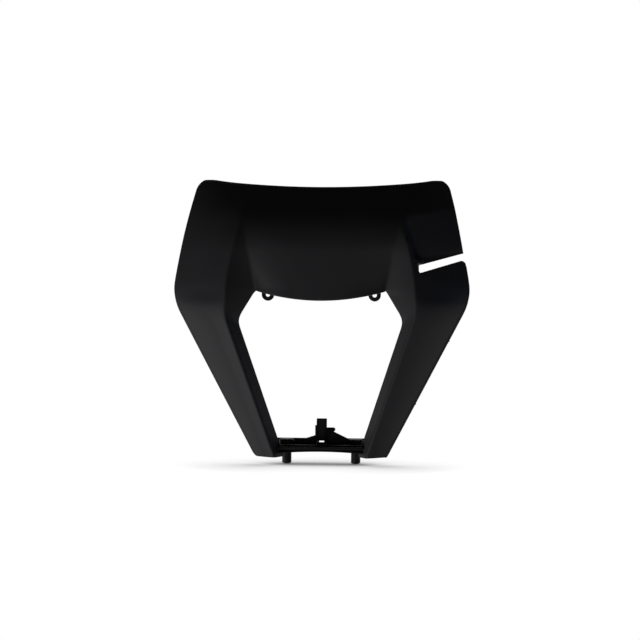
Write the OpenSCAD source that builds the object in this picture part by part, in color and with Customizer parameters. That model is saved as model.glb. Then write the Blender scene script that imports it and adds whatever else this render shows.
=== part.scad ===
// Headlight cowl: one moulded shell that frames a small road bike's headlamp.
// Z is up, X is to the viewer's right, the front faces -Y, in millimetres.
// The origin lies midway between the tips of the two locating pegs.

/* [Outline] */
// Overall height, from the pegs' tips to the top corners
height = 260.1; // [258:0.1:266]
// Half width of the shell at the feet of the arms
foot_half_w = 60.5; // [56:0.1:64]
// Half width where the side lines of arm and wing would meet
wide_half_w = 135.2; // [125:0.1:142]
// Height of that widest corner
wide_z = 152; // [146:0.5:156]
// Half width of the shell at its top corners
top_half_w = 114.5; // [108:0.1:120]
// Height of the top edge at its middle
top_mid_z = 252.6; // [246:0.1:256]
// Radius of the top corners
top_corner_r = 10; // [6:0.5:14]
// Length over which the widest corner is rounded
wide_round = 14; // [8:0.5:18]
// Outward bow of the wing's side line
side_bow = 1.0; // [0:0.1:2]
// Height of the feet of the arms
foot_z = 7.2; // [5:0.1:9]

/* [Lamp opening] */
// Half width of the opening at the feet of the arms
foot_open_half_w = 34.2; // [33:0.1:36]
// Half width where the lines of arm and upper corner would meet
open_half_w = 74.2; // [72:0.1:76]
// Height of that widest corner
open_wide_z = 131.5; // [128:0.5:134]
// Half width of the opening at its upper corners
open_top_half_w = 58.1; // [55:0.1:61]
// Height of the upper corners
open_top_z = 158.2; // [156:0.1:160]
// How far the brow's lip hangs below the upper corners at its middle
lip_drop = 8.9; // [5:0.1:11]
// Length over which the widest corner of the opening is rounded
open_round = 6; // [3:0.5:9]

/* [Ridges and valleys] */
// Half distance between the ridges at the feet
foot_ridge_half_w = 41.2; // [40:0.1:43]
// Half distance between the ridges at their widest
ridge_half_w = 83.6; // [82:0.1:86]
// Height from which they are that far apart
ridge_wide_z = 134.5; // [131:0.5:137]
// Half distance between the ridges at the shoulder
shoulder_ridge_half_w = 72; // [71:0.1:74]
// Outward bow of the ridges between the widest corner and the shoulder
ridge_bow = 2.2; // [0:0.1:3]
// Half distance between the ridges at the top edge
top_ridge_half_w = 75; // [73:0.1:78]
// Half distance between the valleys at the shoulder
shoulder_valley_half_w = 68.6; // [66:0.1:70]
// Half distance between the valleys at the top edge
top_valley_half_w = 70; // [67:0.1:72]
// Height of the shoulder, where ridge and valley run together
shoulder_z = 214; // [208:0.5:218]
// Width of the flat that breaks each ridge
ridge_flat = 2.6; // [2:0.1:3.4]
// Rounding of ridges and valleys
crease_r = 1.4; // [1:0.1:2.4]
// Further rounding at the top edge, where they have faded out
fade_r = 26; // [18:1:30]

/* [Depths in front of the pegs] */
// Brow, at its lip
brow_front = 63; // [58:0.5:68]
// Brow, where it starts to bend back
brow_bend_front = 61; // [57:0.5:64]
// Brow, just above the bend
brow_over_front = 52; // [48:0.5:56]
// Brow, at the top edge
brow_top_front = 7; // [2:0.5:12]
// Ridges, at their front-most point
ridge_front = 66; // [62:0.5:70]
// Ridges, beside the opening's widest corner
ridge_open_front = 63; // [59:0.5:66]
// Ridges, where they start to bend back
ridge_bend_front = 60; // [56:0.5:63]
// Ridges, just above the bend
ridge_over_front = 48; // [44:0.5:52]
// Ridges, at the top edge
ridge_top_front = 5; // [1:0.5:10]
// Ridges, at the feet
foot_ridge_front = 26; // [22:0.5:30]
// Outer edge, at its widest corner
wide_front = 30; // [25:0.5:36]
// Outer edge, beside the shoulder
side_front = 25; // [20:0.5:30]
// Outer edge, at the feet
foot_out_front = 12; // [8:0.5:16]
// Outer edge, at the top corners
corner_front = 2; // [0:0.5:8]
// How far below the shoulder the top starts to bend back
bend_below = 12; // [8:0.5:14]
// How far above the shoulder the bend ends
bend_above = 8; // [5:0.5:12]
// Rounding of the bend
bend_r = 10; // [6:0.5:12]
// Rounding of the bend at the outer edges
side_bend_r = 24; // [16:1:30]
// Depth of the return wall around the lamp
return_depth = 12.5; // [9:0.5:15]
// Depth of the valley beside the brow, at the opening's upper corners
valley_depth = 17; // [12:0.5:20]

/* [Wall and edges] */
// Wall thickness
wall = 2.4; // [2:0.1:2.8]
// How far the outer rim is rolled back
rim_back = 5; // [4:0.1:7]
// How far the rim stands outside the face
rim_out = 1.8; // [1.2:0.1:2.4]
// How far the lip of the brow is rolled back
lip_back = 5; // [4:0.1:7]

/* [Hose slot] */
// Where the slot starts, from the middle
slot_x = 87; // [85:0.5:90]
// Height of the slot's middle at its closed end
slot_z = 177.4; // [174:0.2:181]
// Width of the slot at its closed end
slot_w = 7.4; // [6:0.1:8.4]
// Width of the slot at the open end
slot_mouth_w = 6.4; // [5:0.1:7.4]
// Rise of the slot for each millimetre outwards
slot_rise = 0.3; // [0.24:0.01:0.34]
// Rounding of the wing's corner under the slot's open end
slot_mouth_r = 4.5; // [3:0.5:7]
// Cut corners of the slot's closed end
slot_round = 1.2; // [0.8:0.1:2]
// Height at which the pocket over the slot starts, above the slot's closed end
pocket_top_z = 227.5; // [222:0.5:232]
// Rise of that line for each millimetre outwards
pocket_rise = 0.18; // [0.1:0.01:0.26]
// Slope of the pocket's floor, back from the slot upwards
pocket_slope = 0.24; // [0.2:0.01:0.32]
// Width of the pocket's side wall
pocket_side = 5.4; // [4:0.1:7]

/* [Locating pegs] */
// Diameter of a peg
peg_d = 8.6; // [7:0.1:10]
// Distance between the pegs
peg_pitch = 63.4; // [60:0.1:66]
// Diameter of the boss over a peg
boss_d = 14; // [12:0.2:16]
// Chamfer at the top of the boss
boss_chamfer = 1; // [0.4:0.1:1.6]

/* [Bridge] */
// Height of the shelf's underside
shelf_z = 13.7; // [12.6:0.1:14.6]
// Thickness of shelf, lip and rear wall
bridge_wall = 2.6; // [2.2:0.1:3]
// How far the lip stands in front of the pegs
lip_front = 20; // [17:0.5:22]
// Height of the lip above the shelf's underside
lip_h = 4.2; // [3.4:0.1:5]
// Rise of the arch under the lip
lip_arch = 1.8; // [1:0.1:2.4]
// How far the shelf reaches outside the ridges, behind the arms
shelf_side = 4; // [2:0.2:6]
// Cut corners at the shelf's rear
shelf_corner = 8; // [5:0.5:11]
// How far the rear wall stands behind the pegs
rear_y = 11; // [9:0.5:13]
// Height of the bosses and of the rear wall's ends
rear_z = 22.3; // [21:0.1:24]
// Further rise of the rear wall at the middle
rear_rise = 2.6; // [1:0.1:4]
// Distance from the middle at which that rise has ended
rear_rise_x = 23.9; // [20:0.1:27]

/* [Aiming tab] */
// Height of the tab's top
tab_z = 40.5; // [37:0.2:44]
// Width of the tab
tab_w = 9.4; // [8:0.1:11]
// Depth of the tab's side flanges
tab_flange = 6; // [4:0.2:8]
// Height of the step beside the tab
tab_step_z = 32.2; // [30:0.2:34]
// Reach of that step from the middle of the tab
tab_step_x = 12.6; // [10:0.1:14]
// How far the tab's other side steps out
tab_ear = 1.4; // [0.8:0.1:2]
// Height of that step
tab_ear_z = 34.2; // [32:0.2:37]
// Width of the small slot under the tab
tab_slot_w = 4.6; // [3.6:0.1:6]
// Height of the small slot
tab_slot_h = 1.5; // [1:0.1:2]
// Height of the small slot's middle
tab_slot_z = 19.2; // [18.4:0.1:20]

/* [Screw eyelets] */
// Distance between the eyelets
eyelet_pitch = 96.2; // [92:0.1:100]
// How far the eyelets' centres lie below the opening's upper corners
eyelet_drop = 3.6; // [2:0.1:5]
// Outside diameter of an eyelet
eyelet_d = 9.6; // [8.6:0.1:10.6]
// Hole in an eyelet
eyelet_hole_d = 4.2; // [3.2:0.1:5]
// Thickness of an eyelet
eyelet_t = 3; // [2.4:0.1:4]
// How far the eyelets lie in front of the pegs
eyelet_front = 30; // [26:0.5:34]
// Height of the bracket that carries an eyelet
bracket_h = 14; // [11:0.5:17]
// Thickness of the bracket's webs
bracket_t = 2; // [1.6:0.1:2.4]

/* [Strap hooks] */
// Height of the upper hooks
hook_upper_z = 116; // [112:0.5:120]
// Height of the lower hooks
hook_lower_z = 58; // [54:0.5:62]
// Thickness of a hook's leg and foot
hook_t = 2.4; // [2:0.1:2.8]
// Length of the barb at a hook's tip
hook_barb = 1.2; // [0.8:0.1:1.6]
// Width of a hook
hook_w = 7; // [6:0.1:9]
// How far a hook's foot lies behind the wing's edge
hook_reach = 22; // [16:0.5:26]
// Length of a hook's foot
hook_foot = 10; // [8:0.5:12]

/* [Hidden] */
PLASTIC = [0.13, 0.13, 0.14];
$fn = 40;

// Straight runs between the points of a table, also past its ends
function run(t, z, i = 0) =
    i >= len(t) - 2 || z < t[i + 1][0]
        ? t[i][1] + (z - t[i][0]) * (t[i + 1][1] - t[i][1]) / (t[i + 1][0] - t[i][0])
        : run(t, z, i + 1);

// The same with its corners rounded over a length r each way
function soft(t, z, r) =
    (run(t, z - r) + 2 * run(t, z - r / 2) + 2 * run(t, z)
        + 2 * run(t, z + r / 2) + run(t, z + r)) / 8;

// Smooth step from 0 to 1
function ease(x) = let(c = min(1, max(0, x))) c * c * (3 - 2 * c);

// Half widths by height
outer_run = [[foot_z, foot_half_w], [wide_z, wide_half_w], [height, top_half_w]];
ridge_run = [
    [foot_z, foot_ridge_half_w], [ridge_wide_z, ridge_half_w], [wide_z, ridge_half_w],
    [shoulder_z, shoulder_ridge_half_w], [height, top_ridge_half_w]];
open_run = [
    [foot_z, foot_open_half_w], [open_wide_z, open_half_w], [open_top_z, open_top_half_w]];
valley_run = [
    [open_top_z, open_top_half_w], [shoulder_z, shoulder_valley_half_w],
    [height, top_valley_half_w]];

function bow(z) = side_bow * 4 * max(0, z - wide_z) * (height - z)
    / pow(height - wide_z, 2);
function corner_cut(z) = let(d = max(0, z - height + top_corner_r))
    top_corner_r - sqrt(max(pow(rim_out, 2), pow(top_corner_r, 2) - d * d));
function outer_w(z) = soft(outer_run, z, wide_round) + bow(z) - corner_cut(z);
function ridge_w(z) = soft(ridge_run, z, open_round)
    + (z < wide_z || z > shoulder_z ? 0
        : ridge_bow * 4 * (z - wide_z) * (shoulder_z - z) / pow(shoulder_z - wide_z, 2));
function inner_w(z) = z < open_top_z ? min(soft(open_run, z, open_round), run(open_run, z))
    : run(valley_run, z);

// Depths by height, measured forwards from the pegs
bend_low_z = shoulder_z - bend_below;
bend_high_z = shoulder_z + bend_above;
brow_run = [
    [open_top_z - lip_drop, brow_front], [bend_low_z, brow_bend_front],
    [bend_high_z, brow_over_front], [height, brow_top_front]];
ridge_depth_run = [
    [foot_z, foot_ridge_front], [open_wide_z, ridge_open_front], [wide_z, ridge_front],
    [bend_low_z, ridge_bend_front], [bend_high_z, ridge_over_front],
    [height, ridge_top_front]];
outer_depth_run = [
    [foot_z, foot_out_front], [wide_z, wide_front], [shoulder_z, side_front],
    [height, corner_front]];
function brow_d(z) = soft(brow_run, z, bend_r);
function ridge_d(z) = soft(ridge_depth_run, z, bend_r);
function outer_d(z) = soft(outer_depth_run, z, side_bend_r);

// Depth of the opening's edge below the corners, and of the valley above them
function valley_d(z) = let(
        up = pow(max(0, bend_high_z - z) / (bend_high_z - open_top_z), 1.5),
        arch = brow_d(z) + (ridge_d(z) - brow_d(z)) * pow(inner_w(z) / ridge_w(z), 2))
    arch - valley_depth * up;
function inner_d(z) = z >= open_top_z ? valley_d(z)
    : let(k = ease((open_top_z - z) / (open_top_z - open_wide_z)))
        (1 - k) * (valley_d(open_top_z) + ridge_d(z) - ridge_d(open_top_z))
        + k * (ridge_d(z) - return_depth);

// Edge lines that are not level
function lip_z(f) = open_top_z - lip_drop * (1 - f * f);
function top_z(x) = min(height, top_mid_z
    + (height - top_mid_z) * pow(x / (top_half_w - top_corner_r), 2)) - rim_out;

// Slot line and the pocket's top edge on the wing at the viewer's right
function slot_mid(x) = slot_z + slot_rise * (x - slot_x);
function pocket_edge(x) = pocket_top_z + pocket_rise * (x - slot_x);

// One height of the face: where its parts meet, the depths there, and if it has a brow
function section(z, brow) = let(zi = brow ? max(z, open_top_z) : z)
    [inner_w(zi), ridge_w(z), outer_w(z) - rim_out,
        brow_d(z), inner_d(zi), ridge_d(z), outer_d(z), brow];
// Depth across that height, with sharp creases
function sharp(a, s) = let(xi = s[0], xr = s[1])
    a < xi && s[7] ? s[3] + (s[4] - s[3]) * pow(a / xi, 3)
    : a < xr ? s[4] + (a - xi) / (xr - xi) * (s[5] - s[4])
    : s[5] + pow((a - xr) / (s[2] - xr), 1.1) * (s[6] - s[5]);
// Depth of the face at a place, its creases rounded and fading out towards the top edge
function fade(z) = crease_r + fade_r * ease((z - bend_high_z) / (height - bend_high_z));
function panel(x, z, brow) = let(s = section(z, brow), r = fade(z), a = abs(x))
    (sharp(abs(a - r), s) + 2 * sharp(abs(a - r / 2), s) + 2 * sharp(a, s)
        + 2 * sharp(a + r / 2, s) + sharp(a + r, s)) / 8;
// How far the pocket's flat floor lies behind that face
function pocket(x, z) = let(edge_z = pocket_edge(x))
    x < ridge_w(z) || z < slot_mid(x) || z > edge_z ? 0
        : max(0, panel(x, z, true) - panel(x, edge_z, true) - pocket_slope * (edge_z - z))
            * ease((x - ridge_w(z) - ridge_flat / 2) / pocket_side);
function depth(x, z, brow) = panel(x, z, brow) - pocket(x, z);

// Columns of the right half, from the middle outwards: part and share across it
BROW = 0;
FACET = 1;
WING = 2;
half_cols = [
    for (f = [0:1 / 6:1.001]) [BROW, f],
    [FACET, 0.5], [FACET, 1],
    [WING, 0], [WING, 0.11], [WING, 0.3], [WING, 0.5], [WING, 0.7], [WING, 0.86], [WING, 1]];
half = len(half_cols) - 1;
cols = 2 * half;
inner_col = 6;

// Rows: levels on the arms, then shares of the way from the split to the top edge
arm_steps = 17;
arm_rows = [for (i = [0:arm_steps - 1])
    foot_z + (open_top_z - foot_z) * pow(i / arm_steps, 0.9)];
top_rows = [0, 0.05, 0.11, 0.165, 0.215, 0.265, 0.33, 0.4, 0.47, 0.54, 0.6, 0.66, 0.73, 0.8,
    0.87, 0.915, 0.95, 0.98, 1];
split = len(arm_rows);
rows = split + len(top_rows) - 1;

// Wing rows tilt to run along the slot at its height
slot_share = (slot_z - open_top_z) / (height - open_top_z);
function tilt(v) = slot_rise * ease(v / slot_share) * ease((1 - v) / (1 - slot_share));

// Place of a point on the front face, from its row and column of the right half
function level(i, x, f, part) =
    i < split ? arm_rows[i]
    : let(v = top_rows[i - split], low = part == BROW ? lip_z(f) : open_top_z)
        low + v * (top_z(x) - low);
function across(z, part, f, brow) = let(
        xi = inner_w(brow ? max(z, open_top_z) : z), xr = ridge_w(z), flat = ridge_flat / 2)
    part == BROW ? f * xi
    : part == FACET ? xi + f * (xr - flat - xi)
    : xr + flat + f * (outer_w(z) - rim_out - xr - flat);
function half_point(i, c, side) = let(
        part = c[0], f = c[1], brow = i >= split,
        v = brow ? top_rows[i - split] : 0,
        z0 = level(i, 0, f, part),
        z = level(i, across(z0, part, f, brow), f, part)
            + (part == WING ? tilt(v) * f * (outer_w(z0) - ridge_w(z0)) : 0),
        x = across(z, part, f, brow))
    [side * x, -depth(side * x, z, brow), z];
function front(i, j) = j < half ? half_point(i, half_cols[half - j], -1)
    : half_point(i, half_cols[j - half], 1);

left_in = half - inner_col;
right_in = half + inner_col;
function used(i, j) = i >= 0 && i <= rows && j >= 0 && j <= cols
    && (i >= split || j <= left_in || j >= right_in);

face = [for (i = [0:rows]) [for (j = [0:cols]) used(i, j) ? front(i, j) : [0, 0, 0]]];

// Surface normal at a point, pointing out of the front face
function pick(i, j, k, l) = used(k, l) ? face[k][l] : face[i][j];
function unit(v) = v / max(norm(v), 0.000001);
function normal(i, j) = unit(cross(
    pick(i, j, i, j + 1) - pick(i, j, i, j - 1),
    pick(i, j, i + 1, j) - pick(i, j, i - 1, j)));
back = [for (i = [0:rows]) [for (j = [0:cols])
    used(i, j) ? face[i][j] - wall * normal(i, j) : [0, 0, 0]]];

// Closed walk round the edge of the face, anticlockwise from the right foot
RIM = 0;
FOOT = 1;
OPEN = 2;
LIP = 3;
edge = [
    for (i = [0:rows - 1]) [i, cols, RIM],
    for (j = [cols:-1:1]) [rows, j, RIM],
    for (i = [rows:-1:1]) [i, 0, RIM],
    for (j = [0:left_in - 1]) [0, j, FOOT],
    for (i = [0:split - 1]) [i, left_in, OPEN],
    for (j = [left_in:right_in - 1]) [split, j, LIP],
    for (i = [split:-1:1]) [i, right_in, OPEN],
    for (j = [right_in:cols - 1]) [0, j, FOOT]];
edge_n = len(edge);
function edge_point(k) = let(e = edge[(k + edge_n) % edge_n]) face[e[0]][e[1]];
function outward(k) = let(t = edge_point(k + 1) - edge_point(k - 1)) unit([t[2], 0, -t[0]]);
// How far the edge is rolled, outwards and back, by kind of edge
roll = [[rim_out, rim_back], [0.4, 3], [0.3, 2.5], [0.9, lip_back]];
ring_1 = [for (k = [0:edge_n - 1]) let(r = roll[edge[k][2]])
    edge_point(k) + 0.7 * r[0] * outward(k) + [0, 0.35 * r[1], 0]];
ring_2 = [for (k = [0:edge_n - 1]) let(r = roll[edge[k][2]])
    edge_point(k) + r[0] * outward(k) + [0, r[1], 0]];
ring_3 = [for (k = [0:edge_n - 1]) ring_2[k] - wall * outward(k)];
ring_4 = [for (k = [0:edge_n - 1]) ring_1[k] + wall * ([0, 0.5, 0] - 0.85 * outward(k))];

// The shell: front skin, back skin and the rolled edge between them
width = cols + 1;
skin = (rows + 1) * width;
function at(i, j) = i * width + j;
function edge_at(k) = let(e = edge[k % edge_n]) at(e[0], e[1]);
function ring_at(r, k) = 2 * skin + r * edge_n + k % edge_n;
shell_points = concat(
    [for (row = face) for (p = row) p],
    [for (row = back) for (p = row) p],
    ring_1, ring_2, ring_3, ring_4);
cells = [for (i = [0:rows - 1]) for (j = [0:cols - 1])
    if (used(i, j) && used(i, j + 1) && used(i + 1, j) && used(i + 1, j + 1)) [i, j]];
// Two triangles, clockwise seen from outside, for corners given anticlockwise
function quad(a, b, c, d) = [[a, c, b], [a, d, c]];
shell_faces = concat(
    [for (c = cells) let(i = c[0], j = c[1])
        each quad(at(i, j), at(i, j + 1), at(i + 1, j + 1), at(i + 1, j))],
    [for (c = cells) let(i = c[0], j = c[1])
        each quad(skin + at(i, j), skin + at(i + 1, j), skin + at(i + 1, j + 1), skin + at(i, j + 1))],
    [for (k = [0:edge_n - 1]) each concat(
        quad(edge_at(k), ring_at(0, k), ring_at(0, k + 1), edge_at(k + 1)),
        quad(ring_at(0, k), ring_at(1, k), ring_at(1, k + 1), ring_at(0, k + 1)),
        quad(ring_at(1, k), ring_at(2, k), ring_at(2, k + 1), ring_at(1, k + 1)),
        quad(ring_at(2, k), ring_at(3, k), ring_at(3, k + 1), ring_at(2, k + 1)),
        quad(ring_at(3, k), skin + edge_at(k), skin + edge_at(k + 1), ring_at(3, k + 1)))]);

module shell() polyhedron(points = shell_points, faces = shell_faces);

// Outline of the hose slot, open past the wing's edge
module hose_slot() {
    end_x = wide_half_w + slot_w;
    mouth_x = outer_w(slot_mid(outer_w(slot_z)) - slot_w);
    round_x = mouth_x - slot_mouth_r;
    low_z = slot_mid(round_x) - slot_mouth_w / 2;
    rotate([90, 0, 0]) linear_extrude(height = 3 * ridge_front, center = true)
        polygon([
            [slot_x, slot_z - slot_w / 2 + slot_round], [slot_x + slot_round, slot_z - slot_w / 2],
            for (a = [0:30:90])
                [round_x + slot_mouth_r * sin(a), low_z - slot_mouth_r * (1 - cos(a))],
            [end_x, low_z - 2 * slot_mouth_r],
            [end_x, slot_mid(end_x) + slot_mouth_w / 2],
            [mouth_x, slot_mid(mouth_x) + slot_mouth_w / 2],
            [slot_x + slot_round, slot_mid(slot_x + slot_round) + slot_w / 2],
            [slot_x, slot_z + slot_w / 2 - slot_round]]);
}

// One peg with its root and the boss over it
module peg(side) translate([side * peg_pitch / 2, 0, 0]) {
    cylinder(d = peg_d, h = shelf_z + bridge_wall / 2);
    translate([0, 0, shelf_z + bridge_wall / 2])
        cylinder(d = boss_d, h = rear_z - shelf_z - bridge_wall / 2 - boss_chamfer);
    translate([0, 0, rear_z - boss_chamfer])
        cylinder(d1 = boss_d, d2 = boss_d - 3 * boss_chamfer, h = boss_chamfer);
}

// Plan of the shelf: between the return walls in front, wider behind the arms
side_x = foot_ridge_half_w + shelf_side;
module shelf() translate([0, 0, shelf_z]) linear_extrude(height = bridge_wall)
    polygon([
        [-shelf_front_x, -lip_front], [shelf_front_x, -lip_front],
        [foot_open_half_w + wall, -foot_ridge_front + return_depth + 1],
        [side_x, -foot_out_front], [side_x, 0], [side_x - shelf_corner, rear_y],
        [-side_x + shelf_corner, rear_y], [-side_x, 0], [-side_x, -foot_out_front],
        [-foot_open_half_w - wall, -foot_ridge_front + return_depth + 1]]);
shelf_front_x = foot_open_half_w + wall + (foot_ridge_half_w - foot_open_half_w - wall)
    * (foot_ridge_front - return_depth - lip_front) / -return_depth;

// Lip across the front of the shelf, arched underneath
arch_r = (pow(shelf_front_x, 2) + pow(lip_arch, 2)) / (2 * lip_arch);
module bridge_lip() difference() {
    translate([-shelf_front_x, -lip_front, shelf_z - lip_arch])
        cube([2 * shelf_front_x, bridge_wall, lip_h + lip_arch]);
    translate([0, 0, shelf_z - arch_r]) rotate([90, 0, 0])
        cylinder(r = arch_r, h = 4 * lip_front, center = true, $fn = 360);
}

// Rear wall with the aiming tab standing on it, as one outline seen from the front
nose_r = (tab_step_z - rear_z - rear_rise) / 4;
module rear_wall() {
    t = tab_w / 2;
    top = rear_z + rear_rise;
    rear_x = side_x - shelf_corner;
    translate([0, rear_y, 0]) rotate([90, 0, 0]) difference() {
        linear_extrude(height = bridge_wall) {
            polygon([
                [-rear_x, shelf_z], [rear_x, shelf_z], [rear_x, rear_z],
                [rear_rise_x, rear_z], [tab_step_x, tab_step_z - 2 * nose_r],
                [tab_step_x - nose_r, tab_step_z], [t, tab_step_z],
                [t, tab_z], [-t, tab_z], [-t, tab_ear_z], [-t - tab_ear, tab_ear_z],
                [-t - tab_ear, top], [-0.6 * rear_rise_x, rear_z], [-rear_x, rear_z]]);
            translate([tab_step_x - nose_r, tab_step_z - nose_r]) circle(r = nose_r);
        }
        translate([-tab_slot_w / 2, tab_slot_z - tab_slot_h / 2, -1])
            cube([tab_slot_w, tab_slot_h, bridge_wall + 2]);
    }
    // flanges along the tab's sides and gussets down to the shelf
    for (side = [-1, 1])
        translate([side * (t - bridge_wall / 4) - bridge_wall / 4, 0, 0])
            rotate([90, 0, 90]) linear_extrude(height = bridge_wall / 2)
                polygon([
                    [rear_y - bridge_wall / 2, tab_z], [rear_y - tab_flange, tab_z - tab_flange / 2],
                    [rear_y - tab_flange, top], [-lip_front / 2, shelf_z + bridge_wall / 2],
                    [rear_y - bridge_wall / 2, shelf_z + bridge_wall / 2]]);
}

// Screw eyelet on a channel-shaped bracket behind the brow
eyelet_z = open_top_z - eyelet_drop;
bracket_z = eyelet_z + eyelet_d * 0.75;
module eyelet(side) {
    x = side * eyelet_pitch / 2;
    seat = wall / 2;
    difference() {
        union() {
            translate([x, -eyelet_front, eyelet_z]) rotate([-90, 0, 0])
                cylinder(d = eyelet_d, h = eyelet_t);
            translate([x - eyelet_d / 2, -eyelet_front, eyelet_z])
                cube([eyelet_d, eyelet_t, bracket_z + bracket_h - eyelet_z]);
        }
        translate([x, -eyelet_front, eyelet_z]) rotate([-90, 0, 0])
            cylinder(d = eyelet_hole_d, h = 3 * eyelet_t, center = true);
    }
    for (edge_x = [x - eyelet_d / 2 + bracket_t / 2, x + eyelet_d / 2 - bracket_t / 2])
        translate([edge_x - bracket_t / 2, 0, 0]) rotate([90, 0, 90])
            linear_extrude(height = bracket_t) polygon([
                [-eyelet_front + eyelet_t / 2, bracket_z],
                for (k = [0:4]) let(z = bracket_z + k * bracket_h / 4)
                    [seat - depth(edge_x, z, true), z],
                [-eyelet_front + eyelet_t / 2, bracket_z + bracket_h]]);
}

// Hook for a strap, on the back of an arm: a leg and a foot turned outwards
module hook(z, side) {
    tip_x = outer_w(z);
    leg_x = tip_x - hook_foot;
    back_y = hook_reach - outer_d(z);
    seat = wall * 0.65;
    bottom = z - hook_w / 2;
    top = z + hook_w / 2;
    translate([side * leg_x - hook_t / 2, 0, 0]) rotate([90, 0, 90])
        linear_extrude(height = hook_t) polygon([
            [seat - depth(leg_x, bottom, false), bottom], [back_y, bottom],
            [back_y, top], [seat - depth(leg_x, top, false), top]]);
    translate([0, 0, bottom]) linear_extrude(height = hook_w)
        polygon([for (p = [
            [leg_x, back_y - hook_t], [tip_x - hook_barb, back_y - hook_t],
            [tip_x - hook_barb, back_y - hook_t - hook_barb],
            [tip_x, back_y - hook_t - hook_barb], [tip_x, back_y - hook_barb],
            [tip_x - hook_barb, back_y], [leg_x, back_y]]) [side * p[0], p[1]]]);
}

module cowl() color(PLASTIC) {
    difference() {
        shell();
        hose_slot();
    }
    shelf();
    bridge_lip();
    rear_wall();
    for (side = [-1, 1]) {
        peg(side);
        eyelet(side);
        hook(hook_upper_z, side);
        hook(hook_lower_z, side);
    }
}

cowl();
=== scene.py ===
import math

import bmesh
import bpy
from bpy.props import FloatProperty, FloatVectorProperty, PointerProperty, StringProperty
from mathutils import Matrix, Vector


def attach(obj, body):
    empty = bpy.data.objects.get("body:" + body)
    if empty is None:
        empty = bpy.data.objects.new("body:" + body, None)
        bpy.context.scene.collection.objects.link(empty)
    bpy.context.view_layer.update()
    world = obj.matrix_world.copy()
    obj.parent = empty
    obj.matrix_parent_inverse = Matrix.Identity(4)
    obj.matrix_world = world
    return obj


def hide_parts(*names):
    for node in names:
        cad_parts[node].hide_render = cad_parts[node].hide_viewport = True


bl_info = {
    "name": "Headlight cowl",
    "version": (1, 0, 0),
    "blender": (4, 5, 0),
    "location": "View3D > Sidebar > Cowl",
    "description": "Models a moulded headlight cowl and its studio stage",
    "category": "Add Mesh",
}

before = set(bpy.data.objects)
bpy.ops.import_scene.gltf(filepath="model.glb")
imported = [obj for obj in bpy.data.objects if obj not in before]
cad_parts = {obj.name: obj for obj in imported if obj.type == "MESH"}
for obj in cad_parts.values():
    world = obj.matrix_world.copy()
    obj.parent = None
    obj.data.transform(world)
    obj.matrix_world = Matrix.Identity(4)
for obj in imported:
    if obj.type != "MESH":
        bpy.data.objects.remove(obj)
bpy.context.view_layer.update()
NODE = "cowl"
PIECE = "cowl_moulding"
FLOOR = "studio_floor"
MM = 0.001

# Shares, powers and small sizes in mm that nobody would change by themselves
VALLEY_FADE = 1.5       # power by which the valley rises into the shoulder
BROW_HOLLOW = 3         # power of the hollow from the brow into the valley
WING_BOW = 1.1          # power of the wing's fall from ridge to edge
ARM_FADE = 16           # height over which the arms' own rounding starts
POCKET_EDGE = 1         # from the ridge to the pocket's side wall
POCKET_NARROW = 12      # height over the slot in which that wall narrows
POCKET_NARROWED = 0.6   # share of its width that it loses there
SLOT_EDGE = 0.3         # from the slot's closed end to the narrow wall
FEW_TAPS, MANY_TAPS, WIDE_R = 12, 24, 3  # samples of a crease, and where they double
ROLL_ANGLES = (25, 50, 75)  # steps of a rolled edge, in degrees
ROLL_END = 1.2          # where the roll has turned back, in shares of its reach
FOOT_ROLL, OPENING_ROLL = (0.4, 3), (0.3, 2.5)  # out and back
LIP_ROLL_OUT = 0.9
THROUGH = 100           # reach of a cutter to each side
OVERLAP = 1             # how far the shelf runs into the walls beside it
LIP_STRAIGHT = 2        # part of the bridge's lip that doesn't lean back
REAR_RISE_SHARE = 0.6   # reach of the rear wall's rise on the side without the step
BOSS_START = 1          # from the shelf's underside to a boss
BRACKET_START = 0.75    # from an eyelet's middle to its webs, in diameters
SEAT = 0.65             # how deep a hook's leg sits in the wall, in walls
THIN, FINE, EYELET, SOFT, TIP, BOSS = 0.2, 0.3, 0.35, 0.4, 1, 1.2  # bevels
BEVEL_ANGLE, SMOOTH_ANGLE = math.radians(40), math.radians(38)
FACES_BACK = 0.1        # a face whose normal points back by more lies behind

# Columns of the face's right half, as shares of each part's width, and its rows
BROW, FACET, RIDGE, WING = range(4)
COLUMNS = {
    BROW: (0, 0.09, 0.18, 0.27, 0.36, 0.45, 0.54, 0.62, 0.7, 0.77, 0.83, 0.885, 0.925, 0.955,
           0.98, 1),
    FACET: (0.06, 0.14, 0.26, 0.42, 0.58, 0.74, 0.88),
    RIDGE: (-1, -0.62, -0.3, 0, 0.3, 0.62, 1),
    WING: (0.04, 0.08, 0.12, 0.17, 0.24, 0.32, 0.41, 0.5, 0.59, 0.68, 0.77, 0.85, 0.92, 0.97,
           1)}
RIDGE_ZONE = 2.4        # half width of the ridge's columns, in mm
ARM_ROWS, TOP_ROWS = 52, 44
CROWDING = 0.35         # how far the rows over the opening crowd towards the top edge

# Studio, in metres
FLOOR_AT, FLOOR_SIZE = (0, 0.78, -0.0005), (2.4, 3.3, 1)
WALL_AT, WALL_SIZE = (0, 2.6, 1.5), (6, 4, 1)
# How far the painted shadow on floor and backdrop reaches
SHADOW_REACH = 0.07
WORLD_LIGHT = 0.015
LAMP_SIZE, LAMP_AIM = 0.8, (0, 0, 0.13)


# Property helpers
def length(name, description, default):
    """A size in millimetres."""
    return FloatProperty(name=name, description=description + ", in mm", default=default)


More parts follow.
